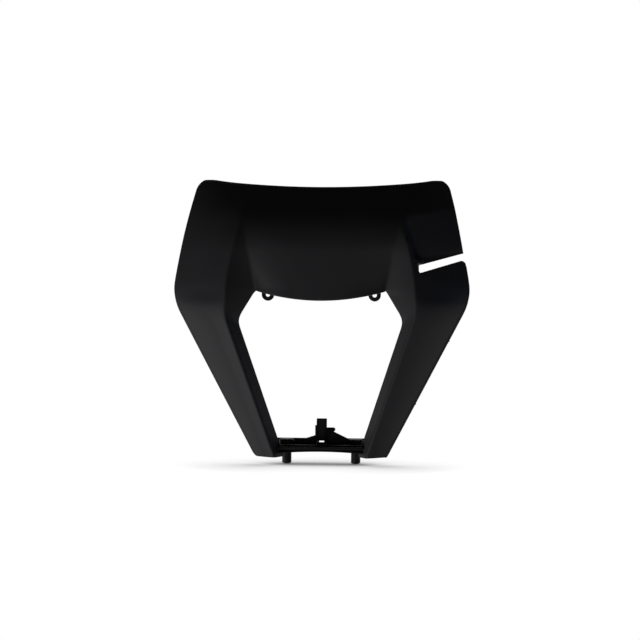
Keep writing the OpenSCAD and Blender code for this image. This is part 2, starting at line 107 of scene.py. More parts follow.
# Sizes and finish that a user would change
class CowlSizes(bpy.types.PropertyGroup):
    """Sizes of the cowl, in millimetres"""
    height: length("Height", "Overall height, from the pegs' tips to the top corners", 260.1)
    foot_half_w: length("Foot half width", "Half width at the feet of the arms", 60.5)
    wide_half_w: length("Widest half width", "Half width where arm and wing lines meet", 135.2)
    wide_z: length("Widest height", "Height of the widest corner", 152)
    top_half_w: length("Top half width", "Half width at the top corners", 114.5)
    top_mid_z: length("Top height, middle", "Height of the top edge at its middle", 252.6)
    top_corner_r: length("Top corner radius", "Radius of the top corners", 10)
    wide_round: length("Widest rounding", "Length over which the widest corner rounds", 14)
    side_bow: length("Side bow", "Outward bow of the wing's side line", 1)
    foot_z: length("Foot height", "Height of the feet of the arms", 7.2)
    foot_open_half_w: length("Foot opening", "Half width of the opening at the feet", 34.2)
    open_half_w: length("Opening half width", "Half width of the opening at its widest", 74.2)
    open_wide_z: length("Opening widest height", "Height of that widest corner", 131.5)
    open_top_half_w: length("Opening top", "Half width of the opening's upper corners", 58.1)
    open_top_z: length("Opening top height", "Height of the upper corners", 158.2)
    lip_drop: length("Lip drop", "How far the brow's lip hangs below the corners", 8.9)
    open_round: length("Opening rounding", "Length over which the opening's corner rounds", 6)
    foot_ridge_half_w: length("Foot ridge", "Half distance of the ridges at the feet", 41.2)
    ridge_half_w: length("Ridge", "Half distance of the ridges at their widest", 83.6)
    ridge_wide_z: length("Ridge height", "Height from which the ridges are that far apart", 134.5)
    shoulder_ridge_half_w: length("Shoulder ridge", "Half distance of the ridges there", 72)
    ridge_bow: length("Ridge bow", "Outward bow of the ridges below the shoulder", 2.2)
    shoulder_valley_half_w: length("Shoulder valley", "Half distance of the valleys there", 68.6)
    top_ridge_half_w: length("Top ridge", "Half distance of the ridges at the top", 75)
    top_valley_half_w: length("Top valley", "Half distance of the valleys at the top", 70)
    crease_r: length("Crease rounding", "Rounding of ridges and valleys", 1.3)
    fade_r: length("Crease fade", "Further rounding at the top edge", 26)
    shoulder_z: length("Shoulder height", "Height where ridge and valley run together", 214)
    brow_front: length("Brow depth", "Brow's lip in front of the pegs", 63)
    brow_bend_front: length("Brow bend depth", "Brow where it starts to bend back", 61)
    brow_over_front: length("Brow depth over the bend", "Brow just above the bend", 52)
    brow_top_front: length("Brow top depth", "Brow at the top edge", 7)
    ridge_front: length("Ridge depth", "Front-most point of the ridges", 66)
    ridge_open_front: length("Ridge depth beside the lamp", "Ridges at its widest corner", 63)
    ridge_bend_front: length("Ridge bend depth", "Ridges where they start to bend back", 60)
    ridge_over_front: length("Ridge depth over the bend", "Ridges just above the bend", 48)
    ridge_top_front: length("Ridge top depth", "Ridges at the top edge", 5)
    foot_ridge_front: length("Foot ridge depth", "Ridges at the feet", 26)
    wide_front: length("Edge depth", "Outer edge at its widest corner", 30)
    side_front: length("Side depth", "Outer edge beside the shoulder", 25)
    bend_below: length("Bend start", "How far below the shoulder the bend starts", 12)
    bend_above: length("Bend end", "How far above the shoulder the bend ends", 8)
    bend_r: length("Bend rounding", "Rounding of the bend", 10)
    side_bend_r: length("Side bend rounding", "Rounding of the bend at the outer edges", 24)
    foot_out_front: length("Foot edge depth", "Outer edge at the feet", 12)
    corner_front: length("Corner depth", "Outer edge at the top corners", 2)
    return_depth: length("Return wall", "Depth of the return wall round the lamp", 15)
    valley_depth: length("Valley depth", "Depth of the valley at the opening's corners", 17)
    wall: length("Wall", "Wall thickness", 2.4)
    rim_back: length("Rim back", "How far the outer rim is rolled back", 5)
    rim_out: length("Rim out", "How far the rim stands outside the face", 1.8)
    lip_back: length("Lip back", "How far the brow's lip is rolled back", 5)
    slot_x: length("Slot start", "Where the hose slot starts, from the middle", 87)
    slot_z: length("Slot height", "Height of the slot at its closed end", 177.4)
    slot_w: length("Slot width", "Width of the slot at its closed end", 7.4)
    slot_mouth_w: length("Slot mouth", "Width of the slot at the open end", 6.4)
    slot_mouth_r: length("Mouth rounding", "Rounding of the corner under the mouth", 4.5)
    slot_round: length("Slot corners", "Cut corners of the slot's closed end", 1.2)
    pocket_top_z: length("Pocket top", "Height at which the pocket starts", 227.5)
    pocket_roll: length("Pocket roll", "How far its floor rolls back at the slot", 2.2)
    pocket_side: length("Pocket side", "Width of the pocket's side wall", 5.4)
    peg_d: length("Peg diameter", "Diameter of a locating peg", 8.6)
    peg_pitch: length("Peg pitch", "Distance between the pegs", 63.4)
    boss_d: length("Boss diameter", "Diameter of the boss over a peg", 14)
    shelf_z: length("Shelf height", "Height of the shelf's underside", 13.7)
    bridge_wall: length("Bridge wall", "Thickness of shelf, lip and rear wall", 2.6)
    lip_front: length("Bridge lip", "How far the lip stands in front of the pegs", 20)
    lip_h: length("Bridge lip height", "Height of the lip above the shelf", 4.2)
    lip_arch: length("Lip arch", "Rise of the arch under the lip", 1.8)
    shelf_side: length("Shelf side", "How far the shelf reaches outside the ridges", 4)
    lip_drop_z: length("Lip drop", "How far the lip hangs below the shelf's underside", 1.7)
    lip_slope: length("Lip slope", "How far the lip leans back over its height", 5)
    shelf_corner: length("Shelf corner", "Cut corners at the shelf's rear", 3)
    rear_y: length("Rear wall", "How far the rear wall stands behind the pegs", 11)
    rear_z: length("Rear height", "Height of the bosses and the rear wall's ends", 22.3)
    rear_rise: length("Rear rise", "Further rise of the rear wall at the middle", 2.6)
    rear_rise_x: length("Rear rise end", "Where that rise has ended, from the middle", 23.9)
    tab_z: length("Tab height", "Height of the aiming tab's top", 40.5)
    tab_w: length("Tab width", "Width of the aiming tab", 9.4)
    tab_flange: length("Tab flange", "Depth of the tab's side flanges", 6)
    tab_step_z: length("Tab step height", "Height of the step beside the tab", 32.2)
    tab_step_x: length("Tab step reach", "Reach of that step", 12.6)
    tab_ear: length("Tab ear", "How far the tab's other side steps out", 1.4)
    tab_ear_z: length("Tab ear height", "Height of that step", 34.2)
    tab_slot_w: length("Tab slot width", "Width of the small slot under the tab", 4.6)
    tab_slot_h: length("Tab slot height", "Height of the small slot", 1.5)
    tab_slot_z: length("Tab slot place", "Height of the small slot's middle", 19.2)
    eyelet_pitch: length("Eyelet pitch", "Distance between the screw eyelets", 96.2)
    eyelet_drop: length("Eyelet drop", "How far the eyelets lie below the upper corners", 4)
    eyelet_d: length("Eyelet diameter", "Outside diameter of an eyelet", 11.2)
    eyelet_hole_d: length("Eyelet hole", "Hole in an eyelet", 3.9)
    eyelet_t: length("Eyelet thickness", "Thickness of an eyelet", 3)
    eyelet_front: length("Eyelet depth", "How far the eyelets lie in front of the pegs", 30)
    bracket_h: length("Bracket height", "Height of the bracket over an eyelet", 14)
    bracket_t: length("Bracket web", "Thickness of the bracket's webs", 2)
    hook_upper_z: length("Upper hooks", "Height of the upper strap hooks", 116)
    hook_lower_z: length("Lower hooks", "Height of the lower strap hooks", 58)
    hook_t: length("Hook thickness", "Thickness of a hook's leg and foot", 2.4)
    hook_w: length("Hook width", "Width of a hook", 7)
    hook_reach: length("Hook reach", "How far a hook lies behind the wing's edge", 22)
    hook_foot: length("Hook foot", "Length of a hook's foot", 10)
    hook_barb: length("Hook barb", "Length of the barb at a hook's tip", 1.2)
    arm_bow: FloatProperty(
        name="Arm bow", description="How far the arms round off beside their ridges", default=0.25)
    pocket_rise: FloatProperty(
        name="Pocket rise", description="Rise of the pocket's top line outwards", default=0.18)
    pocket_slope: FloatProperty(
        name="Pocket slope", description="Backward slope of the pocket's floor", default=-0.05)
    pocket_fade: FloatProperty(
        name="Pocket fade", description="Share of its depth that the pocket loses outwards",
        default=0.4)
    slot_rise: FloatProperty(
        name="Slot rise", description="Rise of the slot for each mm outwards", default=0.3)


class CowlFinish(bpy.types.PropertyGroup):
    """Finish of the moulded plastic"""
    colour: StringProperty(
        name="Colour", description="sRGB hex of the black polypropylene", default="#282729")
    roughness: FloatProperty(
        name="Roughness", description="Satin of the moulded skin", default=0.42, subtype="FACTOR")
    specular: FloatProperty(
        name="Specular", description="Strength of the skin's reflections", default=0.07,
        subtype="FACTOR")
    # This darker colour is painted shade where the bridge, pegs and eyelets lie in shadow; on the
    # back it stands for the ungrained side
    shade_and_ungrained_colour: StringProperty(
        name="Ungrained and shade colour", description="sRGB hex of the parts that the grain leaves out",
        default="#121112")
    grain_mm: FloatProperty(
        name="Grain", description="Size of the moulded grain, in mm", default=0.9)


class CowlStudio(bpy.types.PropertyGroup):
    """Camera"""
    distance: FloatProperty(name="Camera distance", description="To the pegs' plane",
                            default=1.4, unit="LENGTH")
    yaw: FloatProperty(name="Yaw", description="Camera's turn to the right",
                       default=math.radians(2.3), subtype="ANGLE")
    roll: FloatProperty(name="Roll", description="Camera's tilt",
                        default=math.radians(0.45), subtype="ANGLE")
    lens: FloatProperty(name="Lens", description="Focal length in mm", default=85.6)
    aim: FloatVectorProperty(name="Aim", description="Point the camera looks at, in m",
                             default=(-0.0021, 0, 0.1316), unit="LENGTH")


def sizes():
    return bpy.context.scene.cowl_sizes


# Height and depth curves of the face
def run(table, z):
    """Straight runs between the points of a table, also past its ends."""
    k = 0
    while k < len(table) - 2 and z >= table[k + 1][0]:
        k += 1
    (z0, v0), (z1, v1) = table[k], table[k + 1]
    return v0 + (z - z0) * (v1 - v0) / (z1 - z0)


def area(table, z):
    """Area under those runs, from the table's first point."""
    total, k = 0.0, 0
    while k < len(table) - 2 and z >= table[k + 1][0]:
        (z0, v0), (z1, v1) = table[k], table[k + 1]
        total += (v0 + v1) / 2 * (z1 - z0)
        k += 1
    z0, v0 = table[k]
    return total + (v0 + run(table, z)) / 2 * (z - z0)


def soft(table, z, r):
    """The same runs with their corners rounded over a length r each way."""
    return (area(table, z + r) - area(table, z - r)) / (2 * r)


def ease(x):
    """Smooth step from 0 to 1."""
    c = min(1.0, max(0.0, x))
    return c * c * (3 - 2 * c)


class Form:
    """The cowl's face as curves: half widths and depths by height."""

    def __init__(self, s):
        self.s = s
        self.low_z = s.shoulder_z - s.bend_below
        self.high_z = s.shoulder_z + s.bend_above
        self.outer_run = [
            (s.foot_z, s.foot_half_w), (s.wide_z, s.wide_half_w), (s.height, s.top_half_w)]
        self.ridge_run = [
            (s.foot_z, s.foot_ridge_half_w), (s.ridge_wide_z, s.ridge_half_w),
            (s.wide_z, s.ridge_half_w), (s.shoulder_z, s.shoulder_ridge_half_w),
            (s.height, s.top_ridge_half_w)]
        self.open_run = [
            (s.foot_z, s.foot_open_half_w), (s.open_wide_z, s.open_half_w),
            (s.open_top_z, s.open_top_half_w)]
        self.valley_run = [
            (s.open_top_z, s.open_top_half_w), (s.shoulder_z, s.shoulder_valley_half_w),
            (s.height, s.top_valley_half_w)]
        self.brow_run = [
            (s.open_top_z - s.lip_drop, s.brow_front), (self.low_z, s.brow_bend_front),
            (self.high_z, s.brow_over_front), (s.height, s.brow_top_front)]
        self.ridge_depth_run = [
            (s.foot_z, s.foot_ridge_front), (s.open_wide_z, s.ridge_open_front),
            (s.wide_z, s.ridge_front), (self.low_z, s.ridge_bend_front),
            (self.high_z, s.ridge_over_front), (s.height, s.ridge_top_front)]
        self.outer_depth_run = [
            (s.foot_z, s.foot_out_front), (s.wide_z, s.wide_front),
            (s.shoulder_z, s.side_front), (s.height, s.corner_front)]

    def outer_w(self, z):
        s = self.s
        bow = s.side_bow * 4 * max(0, z - s.wide_z) * (s.height - z)
        bow /= (s.height - s.wide_z) ** 2
        drop = max(0, z - s.height + s.top_corner_r)
        inside = max(s.rim_out ** 2, s.top_corner_r ** 2 - drop * drop)
        cut = s.top_corner_r - math.sqrt(inside)
        return soft(self.outer_run, z, s.wide_round) + bow - cut

    def ridge_w(self, z):
        s = self.s
        inside = max(0, (z - s.wide_z) * (s.shoulder_z - z))
        bow = s.ridge_bow * 4 * inside / (s.shoulder_z - s.wide_z) ** 2
        return soft(self.ridge_run, z, s.open_round) + bow

    def inner_w(self, z):
        s = self.s
        if z < s.open_top_z:
            return min(soft(self.open_run, z, s.open_round), run(self.open_run, z))
        return run(self.valley_run, z)

    def brow_d(self, z):
        return soft(self.brow_run, z, self.s.bend_r)

    def ridge_d(self, z):
        return soft(self.ridge_depth_run, z, self.s.bend_r)

    def outer_d(self, z):
        return soft(self.outer_depth_run, z, self.s.side_bend_r)

    def valley_d(self, z):
        s = self.s
        up = (max(0, self.high_z - z) / (self.high_z - s.open_top_z)) ** VALLEY_FADE
        share = (self.inner_w(z) / self.ridge_w(z)) ** 2
        return self.brow_d(z) + (self.ridge_d(z) - self.brow_d(z)) * share - s.valley_depth * up

    def inner_d(self, z):
        """Depth of the opening's edge below its corners, and of the valley above them."""
        s = self.s
        if z >= s.open_top_z:
            return self.valley_d(z)
        k = ease((s.open_top_z - z) / (s.open_top_z - s.open_wide_z))
        corner = self.valley_d(s.open_top_z) + self.ridge_d(z) - self.ridge_d(s.open_top_z)
        return (1 - k) * corner + k * (self.ridge_d(z) - s.return_depth)

    def lip_z(self, share):
        return self.s.open_top_z - self.s.lip_drop * (1 - share * share)

    def top_z(self, x):
        s = self.s
        rise = (s.height - s.top_mid_z) * (x / (s.top_half_w - s.top_corner_r)) ** 2
        return min(s.height, s.top_mid_z + rise) - s.rim_out

    def slot_mid(self, x):
        return self.s.slot_z + self.s.slot_rise * (x - self.s.slot_x)

    def section(self, z, brow):
        """One height of the face: where its parts meet, and the depths there."""
        zi = max(z, self.s.open_top_z) if brow else z
        bow = WING_BOW + self.s.arm_bow * ease((self.s.open_top_z - z) / ARM_FADE)
        return (self.inner_w(zi), self.ridge_w(z), self.outer_w(z) - self.s.rim_out,
                self.brow_d(z), self.inner_d(zi), self.ridge_d(z), self.outer_d(z), bow, brow)

    def sharp(self, a, section):
        """Depth across that height, with sharp creases."""
        xi, xr, xo, d_brow, d_in, d_ridge, d_out, bow, brow = section
        if a < xi and brow:
            return d_brow + (d_in - d_brow) * (a / xi) ** BROW_HOLLOW
        if a < xr:
            return d_in + (a - xi) / (xr - xi) * (d_ridge - d_in)
        return d_ridge + ((a - xr) / (xo - xr)) ** bow * (d_out - d_ridge)

    def panel(self, x, z, brow):
        """Depth of the face, its creases rounded and fading out towards the top edge."""
        s = self.s
        section = self.section(z, brow)
        r = s.crease_r + s.fade_r * ease((z - self.high_z) / (s.height - self.high_z))
        taps = FEW_TAPS if r < WIDE_R else MANY_TAPS
        return sum(self.sharp(abs(abs(x) - r + 2 * r * (k + 0.5) / taps), section)
                   for k in range(taps)) / taps

    def pocket(self, x, z):
        """How far the pocket's flat floor over the slot lies behind that face."""
        s = self.s
        edge_z = s.pocket_top_z + s.pocket_rise * (x - s.slot_x)
        over = z - self.slot_mid(x)
        if x < self.ridge_w(z) or over < 0 or z > edge_z:
            return 0.0
        flat = self.panel(x, edge_z, True) + s.pocket_slope * (edge_z - z)
        above = max(0, over - s.slot_w / 2)
        roll = s.pocket_roll * max(0, 1 - above / (2 * s.pocket_roll)) ** 2
        # Beside the slot's closed end the side wall narrows to the slot's corner
        slot_top = self.slot_mid(x) + s.slot_w / 2
        near = ease((slot_top + POCKET_NARROW - z) / POCKET_NARROW)
        start = self.ridge_w(z) + POCKET_EDGE
        start += near * max(0, s.slot_x + SLOT_EDGE - start)
        side = ease((x - start) / (s.pocket_side * (1 - POCKET_NARROWED * near)))
        outwards = (x - start) / (self.outer_w(z) - start)
        deep = max(0, self.panel(x, z, True) - flat) * (1 - s.pocket_fade * outwards)
        return (deep + roll) * side

    def depth(self, x, z, brow):
        return self.panel(x, z, brow) - self.pocket(x, z)


# Grid of the face
def rows_of(s):
    """Heights of the arms' rows, and shares of the height over the opening."""
    arm = [s.foot_z + (s.open_top_z - s.foot_z) * k / ARM_ROWS for k in range(ARM_ROWS)]
    top = [CROWDING * math.sin(math.pi / 2 * k / TOP_ROWS) + (1 - CROWDING) * k / TOP_ROWS
           for k in range(TOP_ROWS + 1)]
    return arm, top


class Grid:
    """Points of the face on a grid that leaves out the lamp opening."""

    def __init__(self, form):
        self.form = form
        self.cols_half = [(part, t) for part, shares in COLUMNS.items() for t in shares]
        self.half = len(self.cols_half) - 1
        self.cols = 2 * self.half
        self.arm, self.top = rows_of(form.s)
        self.split = len(self.arm)
        self.rows = self.split + len(self.top) - 1
        inner = len(COLUMNS[BROW]) - 1
        self.left_in = self.half - inner
        self.right_in = self.half + inner

    def used(self, i, j):
        inside = 0 <= i <= self.rows and 0 <= j <= self.cols
        return inside and (i >= self.split or j <= self.left_in or j >= self.right_in)

    def tilt(self, v):
        s = self.form.s
        share = (s.slot_z - s.open_top_z) / (s.height - s.open_top_z)
        return s.slot_rise * ease(v / share) * ease((1 - v) / (1 - share))

    def height(self, i, x, part, t):
        s = self.form.s
        if i < self.split:
            return self.arm[i]
        low = self.form.lip_z(t) if part == BROW else s.open_top_z
        return low + self.top[i - self.split] * (self.form.top_z(x) - low)

    def across(self, z, part, t, brow):
        """Distance from the middle for a column's part and share at a height."""
        f, s = self.form, self.form.s
        xi, xr = f.inner_w(max(z, s.open_top_z) if brow else z), f.ridge_w(z)
        if part == BROW:
            return t * xi
        if part == FACET:
            return xi + t * (xr - RIDGE_ZONE - xi)
        if part == RIDGE:
            return xr + t * RIDGE_ZONE
        return xr + RIDGE_ZONE + t * (f.outer_w(z) - s.rim_out - xr - RIDGE_ZONE)

    def place(self, i, j):
        f = self.form
        side = -1 if j < self.half else 1
        part, t = self.cols_half[abs(j - self.half)]
        brow = i >= self.split
        z0 = self.height(i, 0, part, t)
        z = self.height(i, self.across(z0, part, t, brow), part, t)
        if part == WING and brow:
            z += self.tilt(self.top[i - self.split]) * t * (f.outer_w(z0) - f.ridge_w(z0))
        x = side * self.across(z, part, t, brow)
        return Vector((x, -f.depth(x, z, brow), z))

    def edge_walk(self):
        """Edge of the face, anticlockwise from the right foot, with the kind of each edge."""
        walk = [(i, self.cols, "rim") for i in range(self.rows)]
        walk += [(self.rows, j, "rim") for j in range(self.cols, 0, -1)]
        walk += [(i, 0, "rim") for i in range(self.rows, 0, -1)]
        walk += [(0, j, "foot") for j in range(self.left_in)]
        walk += [(i, self.left_in, "opening") for i in range(self.split)]
        walk += [(self.split, j, "lip") for j in range(self.left_in, self.right_in)]
        walk += [(i, self.right_in, "opening") for i in range(self.split, 0, -1)]
        walk += [(0, j, "foot") for j in range(self.right_in, self.cols)]
        return walk


# Small modelling helpers
def deselect_mesh(ob):
    """Clear what is selected in the mesh, so that faces can be selected in code."""
    for part in (ob.data.vertices, ob.data.edges, ob.data.polygons):
        part.foreach_set("select", [False] * len(part))


def deselect():
    if bpy.context.mode != "OBJECT":
        bpy.ops.object.mode_set(mode="OBJECT")
    bpy.ops.object.select_all(action="DESELECT")


def only(ob):
    """Make the object the only one selected, and the active one."""
    deselect()
    ob.select_set(True)
    bpy.context.view_layer.objects.active = ob


def finish_modifiers(ob):
    only(ob)
    for mod in list(ob.modifiers):
        bpy.ops.object.modifier_apply(modifier=mod.name)


def settle(ob):
    """Put the object's place into its mesh."""
    only(ob)
    bpy.ops.object.transform_apply(location=True, rotation=True, scale=True)


def bevel(ob, width_mm, segments=2):
    mod = ob.modifiers.new("edges", "BEVEL")
    mod.width = width_mm * MM
    mod.segments = segments
    mod.limit_method = "ANGLE"
    mod.angle_limit = BEVEL_ANGLE
    finish_modifiers(ob)


def plate(name, outline, place, thickness, bevel_mm=FINE):
    """An outline in mm, extruded; place maps (u, v, w) to the row's axes."""
    deselect()
    bpy.ops.mesh.primitive_circle_add(vertices=len(outline), radius=1, fill_type="NGON")
    ob = bpy.context.object
    ob.name = name
    for vert, (u, v) in zip(ob.data.vertices, outline):
        vert.co = Vector(place(u, v, 0)) * MM
    start, end = Vector(place(0, 0, 0)), Vector(place(0, 0, thickness))
    bpy.ops.object.mode_set(mode="EDIT")
    bpy.ops.mesh.select_all(action="SELECT")
    bpy.ops.mesh.extrude_region_move(
        TRANSFORM_OT_translate={"value": tuple((end - start) * MM)})
    bpy.ops.mesh.select_all(action="SELECT")
    bpy.ops.mesh.remove_doubles(threshold=1e-6)
    bpy.ops.mesh.normals_make_consistent(inside=False)
    bpy.ops.object.mode_set(mode="OBJECT")
    if bevel_mm:
        bevel(ob, bevel_mm)
    return ob


def post(name, radius, at, depth, rotation=(0, 0, 0), bevel_mm=FINE, vertices=48):
    """A round bar whose middle is at a place in mm."""
    deselect()
    bpy.ops.mesh.primitive_cylinder_add(
        vertices=vertices, radius=radius * MM, depth=depth * MM,
        location=[c * MM for c in at], rotation=rotation)
    ob = bpy.context.object
    ob.name = name
    settle(ob)
    if bevel_mm:
        bevel(ob, bevel_mm)
    return ob


def block(name, low, high, bevel_mm=FINE):
    """A box between two corners in mm."""
    deselect()
    middle = [(a + b) / 2 * MM for a, b in zip(low, high)]
    bpy.ops.mesh.primitive_cube_add(size=1, location=middle)
    ob = bpy.context.object
    ob.name = name
    ob.scale = [(b - a) * MM for a, b in zip(low, high)]
    settle(ob)
    if bevel_mm:
        bevel(ob, bevel_mm)
    return ob


def carve(ob, tool, operation):
    """Join a solid to another or cut it out, and remove it."""
    mod = ob.modifiers.new("carve", "BOOLEAN")
    mod.operation = operation
    mod.solver = "MANIFOLD"
    mod.object = tool
    finish_modifiers(ob)
    bpy.data.objects.remove(tool, do_unlink=True)
    return ob


def front_view(y):
    return lambda u, v, w: (u, y + w, v)


def side_view(x):
    return lambda u, v, w: (x + w, u, v)


def plan_view(z):
    return lambda u, v, w: (u, v, z + w)


def moulding():
    """The moulding so far, as one closed shell, or an error that says what is wrong."""
    ob = bpy.data.objects.get(PIECE)
    if ob is None or not ob.data.polygons:
        raise RuntimeError("the face of the cowl has to be made first")
    mesh = bmesh.new()
    mesh.from_mesh(ob.data)
    loose = sum(1 for edge in mesh.edges if not edge.is_manifold)
    mesh.free()
    if loose:
        raise RuntimeError(f"the moulding has {loose} open edges")
    return ob


# Operators: one for each part of the moulding, and one for the stage
class COWL_OT_face(bpy.types.Operator):
    """Lay the face out as a grid and bend it to its curves"""
    bl_idname = "cowl.face"
    bl_label = "Face"

    def execute(self, context):
        grid = Grid(Form(sizes()))
        deselect()
        bpy.ops.mesh.primitive_grid_add(
            x_subdivisions=grid.cols, y_subdivisions=grid.rows, size=2)
        ob = context.object
        ob.name = PIECE
        width = grid.cols + 1
        for i in range(grid.rows + 1):
            for j in range(width):
                vert = ob.data.vertices[i * width + j]
                used = grid.used(i, j)
                vert.co = grid.place(i, j) * MM if used else Vector((0, 0, -1))
        bpy.ops.object.mode_set(mode="EDIT")
        mesh = bmesh.from_edit_mesh(ob.data)
        mesh.verts.ensure_lookup_table()
        bpy.ops.mesh.select_all(action="DESELECT")
        for vert in mesh.verts:
            i, j = divmod(vert.index, width)
            vert.select = not grid.used(i, j)
        bmesh.update_edit_mesh(ob.data)
        bpy.ops.mesh.delete(type="VERT")
        bpy.ops.mesh.select_all(action="SELECT")
        bpy.ops.mesh.normals_make_consistent(inside=False)
        bpy.ops.object.mode_set(mode="OBJECT")
        brow = Vector((0, -0.06, 0.2))
        nearest = min(ob.data.polygons, key=lambda p: (p.center - brow).length)
        if nearest.normal.y > 0:
            ob.data.flip_normals()
        return {"FINISHED"}


def roll_profile(kind, s):
    """Steps of the rolled edge, outwards and back, in mm."""
    out, back = {
        "rim": (s.rim_out, s.rim_back), "foot": FOOT_ROLL, "opening": OPENING_ROLL,
        "lip": (LIP_ROLL_OUT, s.lip_back)}[kind]
    turn = [math.radians(a) for a in ROLL_ANGLES]
    steps = [(out * math.sin(a), out * (1 - math.cos(a))) for a in turn]
    end = out * ROLL_END
    return steps + [(out, end), (out, (end + back) / 2), (out, back)]


def place_name(p):
    """A point's place as a name, so that a vertex finds the edge point it stands for."""
    return tuple(round(c, 3) for c in p)


class COWL_OT_edges(bpy.types.Operator):
    """Roll the edges of the face back and give it its wall"""
    bl_idname = "cowl.edges"
    bl_label = "Edges and wall"

    def execute(self, context):
        s = sizes()
        grid = Grid(Form(s))
        walk = grid.edge_walk()
        points = [grid.place(i, j) for i, j, _ in walk]
        outward, profile = {}, {}
        for k, p in enumerate(points):
            along = points[(k + 1) % len(points)] - points[k - 1]
            outward[place_name(p)] = Vector((along.z, 0, -along.x)).normalized()
            profile[place_name(p)] = roll_profile(walk[k][2], s)
        start = {place_name(p): p for p in points}
        ob = bpy.data.objects[PIECE]
        only(ob)
        bpy.ops.object.mode_set(mode="EDIT")
        bpy.ops.mesh.select_mode(type="EDGE")
        bpy.ops.mesh.select_all(action="DESELECT")
        bpy.ops.mesh.select_non_manifold(
            extend=False, use_wire=False, use_boundary=True, use_multi_face=False,
            use_non_contiguous=False, use_verts=False)
        here = dict(start)
        for step in range(len(ROLL_ANGLES) + 3):
            bpy.ops.mesh.extrude_edges_move(TRANSFORM_OT_translate={"value": (0, 0, 0)})
            mesh = bmesh.from_edit_mesh(ob.data)
            names = {place_name(p): base for base, p in here.items()}
            following = {}
            for vert in [v for v in mesh.verts if v.select]:
                at = vert.co / MM
                base = names.get(place_name(at)) or min(
                    here, key=lambda name: (here[name] - at).length)
                out, back = profile[base][step]
                p = start[base] + out * outward[base] + Vector((0, back, 0))
                vert.co = p * MM
                following[base] = p
            bmesh.update_edit_mesh(ob.data)
            here = following
        bpy.ops.object.mode_set(mode="OBJECT")
        wall = ob.modifiers.new("wall", "SOLIDIFY")
        wall.thickness = s.wall * MM
        wall.offset = -1
        wall.use_even_offset = False
        smooth = ob.modifiers.new("smooth", "SUBSURF")
        smooth.levels = 1
        smooth.render_levels = 1
        finish_modifiers(ob)
        return {"FINISHED"}


class COWL_OT_slot(bpy.types.Operator):
    """Cut the hose slot through the wing at the viewer's right"""
    bl_idname = "cowl.slot"
    bl_label = "Hose slot"

    def execute(self, context):
        s = sizes()
        form = Form(s)
        end = s.wide_half_w + s.slot_w
        mouth = form.outer_w(form.slot_mid(form.outer_w(s.slot_z)) - s.slot_w)
        r = s.slot_round
        round_x = mouth - s.slot_mouth_r
        low = form.slot_mid(round_x) - s.slot_mouth_w / 2
        turn = [math.radians(a) for a in range(0, 91, 15)]
        corner = [(round_x + s.slot_mouth_r * math.sin(a),
                   low - s.slot_mouth_r * (1 - math.cos(a))) for a in turn]
        outline = [
            (s.slot_x, s.slot_z - s.slot_w / 2 + r), (s.slot_x + r, s.slot_z - s.slot_w / 2),
            *corner, (end, low - 2 * s.slot_mouth_r),
            (end, form.slot_mid(end) + s.slot_mouth_w / 2),
            (mouth, form.slot_mid(mouth) + s.slot_mouth_w / 2),
            (s.slot_x + r, form.slot_mid(s.slot_x + r) + s.slot_w / 2),
            (s.slot_x, s.slot_z + s.slot_w / 2 - r)]
        tool = plate("slot_tool", outline, front_view(-THROUGH), 2 * THROUGH, bevel_mm=0)
        carve(moulding(), tool, "DIFFERENCE")
        return {"FINISHED"}


